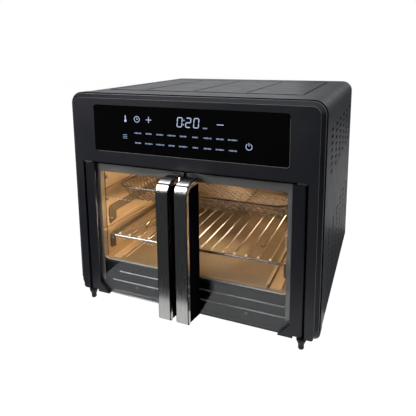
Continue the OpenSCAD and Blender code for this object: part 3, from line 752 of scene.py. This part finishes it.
def fry_basket():
    """The basket's woven mesh, its rim and the two wires under its floor."""
    bm = bmesh.new()
    spacing = MESH_PITCH * math.sqrt(2)
    # enough wires to reach past every corner; those that miss the floor are left out
    wires = 34
    for sign in (1, -1):
        for i in range(-wires, wires + 1):
            basket_floor_wire(bm, sign, i * spacing)
    # slanting wires of the walls: count of them each way, steps from floor to rim
    steps = 4
    count = 92
    rows = [evenly(basket_corner_path(k / steps), count * steps) for k in range(steps + 1)]
    rise = RIM["z"] - BOTTOM["z"]
    for sign in (1, -1):
        for i in range(count):
            points = []
            for k in range(steps + 1):
                x, y = rows[k][(i * steps + sign * k * 2) % (count * steps)]
                points.append(at(x, y, BOTTOM["z"] + rise * k / steps))
            add_tube(bm, points, MESH_WIRE * MM, 4)
    made = finish_piece("basket_mesh", bm, MESH, "basket")
    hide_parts("fry_basket")
    bm = bmesh.new()
    add_tube(bm, [at(x, y, RIM["z"]) for x, y in basket_corner_path(1)], 1.4 * MM, 10, True)
    for x in (-60, 60):
        ends = [at(x, y, BOTTOM["z"] - 1.2) for y in (BOTTOM["y0"] + 0.5, BOTTOM["y1"] - 0.5)]
        add_tube(bm, ends, 0.9 * MM, 8)
    finish_piece("basket_rim", bm, RIM_WIRE, "basket")


fry_basket()


# ---------------------------------------------------------------- small wire parts of the rack


WIRE_PITCH = 18
# the rack's thin wires are numbered from the middle one, 0, out to this on each side
LAST_WIRE = 7


def rack_ends():
    """Bright welds at the front of the rack's thin wires, and two small hooks near its corners."""
    bm = bmesh.new()
    for i in range(-LAST_WIRE, LAST_WIRE + 1):
        x = i * WIRE_PITCH
        add_tube(bm, [at(x, 16.9, 99.2), at(x, 17.2, 100.4), at(x, 19.5, 100.2)], 1.75 * MM, 8)
    finish_piece("rack_welds", bm, WELD, "rack")
    bm = bmesh.new()
    for side in (-1, 1):
        path = [
            (104.5, 74, 101.4), (105.4, 69, 100), (105.2, 65, 98), (103.8, 62, 96.6),
            (101.8, 61, 97.0), (100.6, 61.4, 98.6),
        ]
        add_tube(bm, [at(side * x, y, z) for x, y, z in path], 1.0 * MM, 8)
    finish_piece("rack_hooks", bm, RIM_WIRE, "rack")


rack_ends()


# ---------------------------------------------------------------- panel legends

# the legends lie just proud of the control glass, between these depths
LEGEND = (0.08, 0.3)
# strokes of the seven-segment figures in use
SEGMENTS = {0: "abcdef", 2: "abged"}
FIGURE_SLANT = 0.1
FIGURE_Z = 294.0
# places of the signs, as x, z
PLUS = (-56.1, 294.6)
MINUS = (56.9, 293.6)
THERMOMETER = (-96.3, 291.4)
CLOCK = (-76.2, 294.6)
POWER = (98.3, 265.8)
MENU = (-98.0, 267.2)
# the two rows of short bars that stand for the programmes' names
ROWS = (273.6, 258.6)
NAMES_IN_ROW = 9
FIRST_NAME = -75.2
NAME_PITCH = 18.85
NAME_LENGTHS = (12.4, 9.6, 11.8, 13.6, 10.2, 8.4, 12.8, 10.8, 14.2)
BARS_IN_NAME = 5


def bar(bm, x0, z0, x1, z1, thick):
    """A straight stroke with slanted ends between two points of the panel."""
    dx, dz = x1 - x0, z1 - z0
    size = math.hypot(dx, dz)
    ux, uz = dx / size, dz / size
    h = thick / 2
    outline = [
        (x0, z0), (x0 + ux * h - uz * h, z0 + uz * h + ux * h),
        (x1 - ux * h - uz * h, z1 - uz * h + ux * h), (x1, z1),
        (x1 - ux * h + uz * h, z1 - uz * h - ux * h), (x0 + ux * h + uz * h, z0 + uz * h - ux * h),
    ]
    add_plate(bm, outline[::-1], *LEGEND)


def stroke(bm, points, thick, closed=False):
    """A line of even thickness through points of the panel."""
    count = len(points)
    for i in range(count if closed else count - 1):
        (x0, z0), (x1, z1) = points[i], points[(i + 1) % count]
        dx, dz = x1 - x0, z1 - z0
        size = math.hypot(dx, dz)
        nx, nz = -dz / size * thick / 2, dx / size * thick / 2
        ex, ez = dx / size * thick * 0.2, dz / size * thick * 0.2
        outline = [
            (x0 - ex + nx, z0 - ez + nz), (x1 + ex + nx, z1 + ez + nz),
            (x1 + ex - nx, z1 + ez - nz), (x0 - ex - nx, z0 - ez - nz),
        ]
        add_plate(bm, outline, *LEGEND)


def disc(bm, x, z, r, steps=20):
    """A round spot on the panel."""
    add_plate(bm, arc((x, z), r, 360, 360 / steps, steps - 1), *LEGEND)


def digit(bm, number, x):
    """A seven-segment figure whose middle is at x."""
    w, h, thick = 3.7, 6.7, 1.15
    corners = {
        "a": ((-w, h), (w, h)), "b": ((w, h), (w, 0)), "c": ((w, 0), (w, -h)),
        "d": ((-w, -h), (w, -h)), "e": ((-w, 0), (-w, -h)), "f": ((-w, h), (-w, 0)),
        "g": ((-w, 0), (w, 0)),
    }
    # each stroke stops short of the corners
    share = 0.92
    for key in SEGMENTS[number]:
        (x0, z0), (x1, z1) = corners[key]
        mx, mz = (x0 + x1) / 2, (z0 + z1) / 2
        ends = []
        for px, pz in ((x0, z0), (x1, z1)):
            px, pz = mx + (px - mx) * share, mz + (pz - mz) * share
            ends.append((x + px + pz * FIGURE_SLANT, FIGURE_Z + pz))
        bar(bm, *ends[0], *ends[1], thick)


def level(bm, x, z, half, thick):
    """A level stroke on the panel about the point x, z."""
    stroke(bm, [(x - half, z), (x + half, z)], thick)


def bright_legends():
    """The time and the signs for temperature, time, plus, minus and power."""
    bm = bmesh.new()
    for number, x in ((0, -5.2), (2, 8.4), (0, 20.8)):
        digit(bm, number, x)
    for rise in (-3.2, 3.2):
        disc(bm, 1.4 + rise * FIGURE_SLANT, FIGURE_Z + rise, 0.8, 12)
    x, z = PLUS
    level(bm, x, z, 4.3, 0.9)
    stroke(bm, [(x, z - 4.3), (x, z + 4.3)], 0.9)
    level(bm, *MINUS, 4.7, 0.95)
    x, z = THERMOMETER
    stroke(bm, [(x, z + 0.6), (x, z + 7.8)], 1.5)
    disc(bm, x, z, 2.0)
    x, z = CLOCK
    stroke(bm, arc(CLOCK, 4.4, 0, 360, 24)[:-1], 0.75, True)
    stroke(bm, [(x, z + 2.4), (x, z - 0.2), (x + 1.8, z - 0.2)], 0.6)
    x, z = POWER
    stroke(bm, arc(POWER, 4.3, 122, 418, 22), 0.75)
    stroke(bm, [(x, z + 0.8), (x, z + 5.4)], 0.75)
    finish_piece("legend_bright", bm, GLOW, smooth=0)


def soft_legends():
    """The dimmer menu sign, the unit after the time and the bars in place of names."""
    bm = bmesh.new()
    for rise in (-2.6, 0, 2.6):
        level(bm, MENU[0], MENU[1] + rise, 3.4, 1.0)
    for x, half in ((32.3, 1.1), (35.7, 1.3)):
        level(bm, x, 287.4, half, 1.7)
    for row, z in enumerate(ROWS):
        for i in range(NAMES_IN_ROW):
            size = NAME_LENGTHS[(i * (row + 1) + 4 * row) % NAMES_IN_ROW]
            step = size / BARS_IN_NAME
            for k in range(BARS_IN_NAME):
                start = FIRST_NAME + NAME_PITCH * i - size / 2 + k * step
                tall = 2.0 if (i + k + row) % 3 else 1.3
                stroke(bm, [(start, z), (start + step * 0.62, z)], tall)
    finish_piece("legend_soft", bm, GLOW_SOFT, smooth=0)


bright_legends()
soft_legends()


# ---------------------------------------------------------------- doors, bezel and casing

GLASS_FRONT = 4.0
GLASS_BACK = 7.5
HANDLE_REACH = 43.0
HANDLE_INNER = 5.5
HANDLE_WIDTH = 17.5
HANDLE_TOP = 216.0
HANDLE_LOW = 13.0
# radii of the handle's bends at its top and its foot
HANDLE_NOSE = 18.0
HANDLE_FOOT = 6.0
HALF_BODY = 200.0
BODY_TOP = 332.0
BODY_CORNER = 19.0
# the bezel's sloped rim
RIM_WIDTH = 8.0
RIM_DEPTH = 7.4
# the pressed frame on top: left, right, front, rear and corner radius at its middle line
TOP_FRAME = (-169.6, 156.6, 65.4, 324.6, 7.6)
# cross grooves divide it into this many bays, counted from the right, the last one narrower
TOP_BAYS = 4
TOP_BAY = 88.0


def door_border(side, body):
    """The grey band inside the stile and along the top of a door's glass."""
    middle_x, inner_x, outer_x = 2.4, 151.2, 159.0
    low, inner_top, outer_top, r = 18.0, 206.6, 219.2, 5.0
    outline = [(middle_x, outer_top), (middle_x, inner_top), (inner_x - r, inner_top)]
    outline += arc((inner_x - r, inner_top - r), r, 90, 0, 6)[1:]
    outline += [(inner_x, low), (outer_x, low + 4), (outer_x, outer_top)]
    if side < 0:
        outline = [(-x, z) for x, z in outline[::-1]]
    bm = bmesh.new()
    add_plate(bm, outline, GLASS_BACK + 0.02, GLASS_BACK + 0.4)
    bmesh.ops.recalc_face_normals(bm, faces=bm.faces[:])
    finish_piece(body + "_border", bm, GREY_BAND_AND_HIGHLIGHT, body, 0)


def handle_edges(side, body):
    """The black edges that frame the steel strip of a handle, from its foot over its nose."""
    r = 1.0
    nose, foot = HANDLE_NOSE - r, HANDLE_FOOT - r
    front = -HANDLE_REACH
    path = arc((front + HANDLE_FOOT, HANDLE_LOW), foot, 240, 180, 4)
    path += arc((front + HANDLE_NOSE, HANDLE_TOP - HANDLE_NOSE), nose, 180, 90, 10)
    path.append((-4, HANDLE_TOP - r))
    bm = bmesh.new()
    for x in (HANDLE_INNER, HANDLE_INNER + HANDLE_WIDTH):
        add_tube(bm, [at(side * x, y, z) for y, z in path], r * MM, 8)
    name = "right_handle_edges" if side > 0 else "left_handle_edges"
    finish_piece(name, bm, HANDLE_BLACK, body)


DOORS = ((1, "right_door"), (-1, "left_door"))
for side, body in DOORS:
    door_border(side, body)
for side, body in DOORS:
    handle_edges(side, body)


def panel_rim():
    """A painted highlight along the lower and right-hand edge of the recess that holds the control
    glass, where its ledge catches the light.
    """
    half, low, high, r = 153.9, 241.6, 314.0, 4.3
    path = [(-half + 6, low), (half - r, low)]
    path += arc((half - r, low + r), r, 270, 360, 5)[1:] + [(half, high - 6)]
    bm = bmesh.new()
    add_tube(bm, [at(x, 0.15, z) for x, z in path], 0.45 * MM, 6)
    finish_piece("panel_rim", bm, GREY_BAND_AND_HIGHLIGHT)


panel_rim()


def body_outline(inset):
    """The body's sides and top as x, z pairs, drawn that far inside, from foot to foot."""
    half, top, r = HALF_BODY - inset, BODY_TOP - inset, BODY_CORNER - inset
    low, middle = 15, 150
    path = [(half, low), (half, middle)] + arc((half - r, top - r), r, 0, 90, 12)
    return path + arc((-half + r, top - r), r, 90, 180, 12) + [(-half, middle), (-half, low)]


def rim_depth(inset):
    """Depth of the bezel's sloped rim behind its face, at that inset."""
    return RIM_DEPTH * (1 - inset / RIM_WIDTH)


def rim_tube(name, inset, radius, material):
    """A thin line that runs round the bezel on its sloped rim."""
    bm = bmesh.new()
    path = [at(x, rim_depth(inset), z) for x, z in body_outline(inset)]
    add_tube(bm, path, radius * MM, 8)
    finish_piece(name, bm, material)


def body_lines():
    """Painted shade in the gap beside the casing, painted highlights along both edges of the rim,
    and painted shade on the rim between them.
    """
    rim_tube("bezel_gap", 0.86, 0.85, GAP)
    rim_tube("bezel_edge", 2.1, 0.6, RIM_HIGHLIGHT_LINE)
    rim_tube("bezel_face_edge", 7.9, 0.25, RIM_HIGHLIGHT_LINE)
    bm = bmesh.new()
    rows = []
    for inset in (0.5, 7.7):
        points = [at(x, rim_depth(inset) - 0.15, z) for x, z in body_outline(inset)]
        rows.append([bm.verts.new(point) for point in points])
    for i in range(len(rows[0]) - 1):
        bm.faces.new((rows[0][i], rows[0][i + 1], rows[1][i + 1], rows[1][i]))
    finish_piece("bezel_rim_paint", bm, RIM_PAINTED_SHADE)


body_lines()


def top_lines():
    """Dark paint shadow in the grooves pressed into the casing's top."""
    bm = bmesh.new()
    z = BODY_TOP - 1.35
    line = 1.1 * MM
    left, right, front, rear, r = TOP_FRAME
    path = arc((right - r, front + r), r, 270, 360, 6) + arc((right - r, rear - r), r, 0, 90, 6)
    path += arc((left + r, rear - r), r, 90, 180, 6) + arc((left + r, front + r), r, 180, 270, 6)
    add_tube(bm, [at(x, y, z) for x, y in path], line, 6, True)
    # the front groove shows wider than the others, so a second line lies on its far flank
    lip = [at(x, front + 0.6, BODY_TOP - 0.92) for x in (left + r, 0, right - r)]
    add_tube(bm, lip, 0.9 * MM, 6)
    for i in range(1, TOP_BAYS):
        x = right + 1.4 - i * TOP_BAY
        add_tube(bm, [at(x, front + 16.5, z), at(x, rear - 8.5, z)], line, 6)
    # a finer line crosses the top just behind the bezel
    step = [at(x, 24.5, BODY_TOP - 0.6) for x in (-HALF_BODY + 20, 0, HALF_BODY - 20)]
    add_tube(bm, step, 0.55 * MM, 6)
    finish_piece("top_line_paint", bm, LINE)


top_lines()


# rows of dashes printed on the glass: height, first dash and number of dashes
DASH_ROWS = ((163.5, -148, 9), (130, -147, 3), (97, -147, 6), (96, -75, 3))
DASH_PITCH = 6.8
DASH = (3.6, 1.0)


def glass_marks():
    """Plain dashes on the left door's glass that show the rack heights."""
    bm = bmesh.new()
    wide, tall = DASH
    for z, first, count in DASH_ROWS:
        for i in range(count):
            x = first + i * DASH_PITCH
            outline = [(x, z), (x + wide, z), (x + wide, z + tall), (x, z + tall)]
            add_plate(bm, outline[::-1], GLASS_FRONT - 0.15, GLASS_FRONT - 0.03)
    finish_piece("glass_marks", bm, PRINT, "left_door", 0)


glass_marks()


# ---------------------------------------------------------------- stage, light and camera


bpy.context.scene.view_settings.view_transform = "Standard"

WHITE_LEVEL = 0.99
# the floor lies this far under the feet, so that the two never share a plane
FLOOR_GAP = 0.0002
FAR = 5.0
TABLE_LEFT = -0.204
TABLE_RIGHT = 0.5
TABLE_BACK = FRONT + 0.1
# the table's front edge, as x and distance in front of the bezel
TABLE_EDGE = ((TABLE_LEFT, 0.127), (TABLE_RIGHT, 0.136))
# the part of the floor behind that shines on the casing's side
STRIP_LEFT, STRIP_FRONT = 0.14, 0.28
STRIP_RIGHT, STRIP_BACK = 0.5, 1.7


def stage_sheet(name, outline, material, lights_object=True):
    """A flat part of the floor, given by x, y pairs of the model's frame in metres.

    With lights_object off only the camera sees it, so it casts no shine on the object.
    """
    bm = bmesh.new()
    z = cad_low.z - FLOOR_GAP
    bm.faces.new([bm.verts.new((x, y, z)) for x, y in outline])
    bmesh.ops.triangulate(bm, faces=bm.faces[:])
    made = new_object(name, bm, material)
    made.visible_glossy = lights_object
    made.visible_transmission = lights_object
    made.visible_diffuse = lights_object


def floor_finish(name, mirrored):
    """Paper that the camera sees as white as the background, and mirrors at another level."""
    made = Finish(name, (0.05, 0.05, 0.05), 0.7)
    made.vary_color(made.noise(3, 2), (0.045, 0.045, 0.045), (0.055, 0.055, 0.055))
    made.set("Specular IOR Level", 0.1)
    made.set("Emission Color", (1.0, 1.0, 1.0, 1.0))
    path = made.node("ShaderNodeLightPath")
    shade = made.node("ShaderNodeMapRange")
    shade.inputs["To Min"].default_value = mirrored
    shade.inputs["To Max"].default_value = WHITE_LEVEL
    made.link(path.outputs["Is Camera Ray"], shade.inputs["Value"])
    made.link(shade.outputs["Result"], made.shader.inputs["Emission Strength"])
    return made.mat


def rectangle(x0, y0, x1, y1):
    """The corners of a rectangle, counter-clockwise."""
    return [(x0, y0), (x1, y0), (x1, y1), (x0, y1)]


def studio_floor():
    """One even white floor for the camera, of which the object feels only the table and a strip."""
    plain = floor_finish("floor_paper", WHITE_LEVEL)
    front = [(x, FRONT - reach) for x, reach in TABLE_EDGE]
    table = front + [(TABLE_RIGHT, TABLE_BACK), (TABLE_LEFT, TABLE_BACK)]
    stage_sheet("floor_table", table, floor_finish("table_paper", 0.58))
    around = [(-FAR, -FAR), (FAR, -FAR), (FAR, TABLE_BACK), (TABLE_RIGHT, TABLE_BACK)]
    around += front[::-1] + [(TABLE_LEFT, TABLE_BACK), (-FAR, TABLE_BACK)]
    stage_sheet("floor_around", around, plain, False)
    strip = rectangle(STRIP_LEFT, STRIP_FRONT, STRIP_RIGHT, STRIP_BACK)
    stage_sheet("floor_strip", strip, floor_finish("strip_paper", 0.42))
    for name, corners in (
        ("floor_left", (-FAR, TABLE_BACK, STRIP_LEFT, FAR)),
        ("floor_right", (STRIP_RIGHT, TABLE_BACK, FAR, FAR)),
        ("floor_near", (STRIP_LEFT, TABLE_BACK, STRIP_RIGHT, STRIP_FRONT)),
        ("floor_beyond", (STRIP_LEFT, STRIP_BACK, STRIP_RIGHT, FAR)),
    ):
        stage_sheet(name, rectangle(*corners), plain, False)


studio_floor()


def studio_world():
    """A white background for the camera, and a faint cool light for the object."""
    world = bpy.data.worlds.new("studio")
    bpy.context.scene.world = world
    world.use_nodes = True
    tree = world.node_tree
    tree.nodes.clear()
    path = tree.nodes.new("ShaderNodeLightPath")
    mix = tree.nodes.new("ShaderNodeMixShader")
    seen = tree.nodes.new("ShaderNodeBackground")
    felt = tree.nodes.new("ShaderNodeBackground")
    out = tree.nodes.new("ShaderNodeOutputWorld")
    seen.inputs["Color"].default_value = (1, 1, 1, 1)
    seen.inputs["Strength"].default_value = 1.0
    felt.inputs["Color"].default_value = (0.9, 0.95, 1.0, 1)
    felt.inputs["Strength"].default_value = 0.035
    tree.links.new(path.outputs["Is Camera Ray"], mix.inputs["Fac"])
    tree.links.new(felt.outputs["Background"], mix.inputs[1])
    tree.links.new(seen.outputs["Background"], mix.inputs[2])
    tree.links.new(mix.outputs["Shader"], out.inputs["Surface"])


studio_world()


def softbox(name, place, target, size, power, color=(1, 1, 1)):
    """A rectangular lamp at a place in the model's frame, turned towards its target."""
    data = bpy.data.lights.new(name, "AREA")
    data.shape = "RECTANGLE"
    data.size, data.size_y = size
    data.energy = power
    data.color = color
    made = bpy.data.objects.new(name, data)
    bpy.context.scene.collection.objects.link(made)
    made.location = place
    made.rotation_mode = "QUATERNION"
    made.rotation_quaternion = (Vector(target) - Vector(place)).to_track_quat("-Z", "Y")
    return made


softbox("overhead", (0.1, 0.5, 1.9), (0, 0.1, 0.2), (2.4, 1.6), 42)
softbox("side_right", (1.7, 0.4, 1.25), (0.2, 0.1, 0.2), (1.2, 1.0), 21)
softbox("rear_glow", (-1.5, 2.6, 0.75), (-0.1, 0.1, 0.35), (2.4, 0.9), 5.5)
softbox("rear_corner", (0.9, 2.6, 1.2), (0.15, 0.1, 0.3), (0.9, 0.9), 1.4)
softbox("front_left", (-0.874, -1.178, 1.14), (0, -0.2, 0.2), (0.5, 1.5), 17)

WARM = (1.0, 0.77, 0.53)


def cavity_light(name, place, target, size, power, spread_angle=180):
    """A warm lamp inside the cavity, in body millimetres, that is not itself seen."""
    made = softbox(name, at(*place), at(*target), scaled(size, MM), power, WARM)
    made.visible_camera = False
    made.visible_transmission = False
    made.data.spread = math.radians(spread_angle)


cavity_light("cavity_wash", (0, 165, 208), (0, 165, 0), (220, 180), 0.06)
cavity_light("cavity_left", (60, 170, 132), (-152, 60, 110), (50, 20), 0.5, 90)
cavity_light("cavity_right", (-60, 180, 116), (152, 50, 76), (50, 20), 0.42, 56)
cavity_light("cavity_mouth", (0, 24, 198), (-157, 26, 130), (60, 12), 0.24, 120)
cavity_light("cavity_lamp_light", (141, 240, 106), (-152, 100, 160), (60, 30), 0.38, 140)


# the photo's view, fitted to the casing's edges, in body millimetres and degrees
VIEWPOINT = (267.2, -546.0, 393.6)
AZIMUTH = 22.7
ELEVATION = 9.656
ROLL = -0.513
SENSOR = 36.0
FOCAL_LENGTH = 37.4106
# share of the frame by which the view is shifted down; the photo's own is larger, but that
# would cut off the object's top in the views from other sides
FRAME_SHIFT = -0.2


def camera():
    """The camera at the photo's viewpoint."""
    data = bpy.data.cameras.new("camera")
    data.sensor_width = SENSOR
    data.lens = FOCAL_LENGTH
    data.shift_y = FRAME_SHIFT
    made = bpy.data.objects.new("camera", data)
    bpy.context.scene.collection.objects.link(made)
    bpy.context.scene.camera = made
    a, e = math.radians(AZIMUTH), math.radians(ELEVATION)
    back = Vector((math.sin(a) * math.cos(e), -math.cos(a) * math.cos(e), math.sin(e)))
    right = Vector((0, 0, 1)).cross(back).normalized()
    up = back.cross(right)
    turned = Matrix((right, up, back)).transposed() @ Matrix.Rotation(math.radians(ROLL), 3, "Z")
    made.matrix_world = Matrix.Translation(at(*VIEWPOINT)) @ turned.to_4x4()


camera()
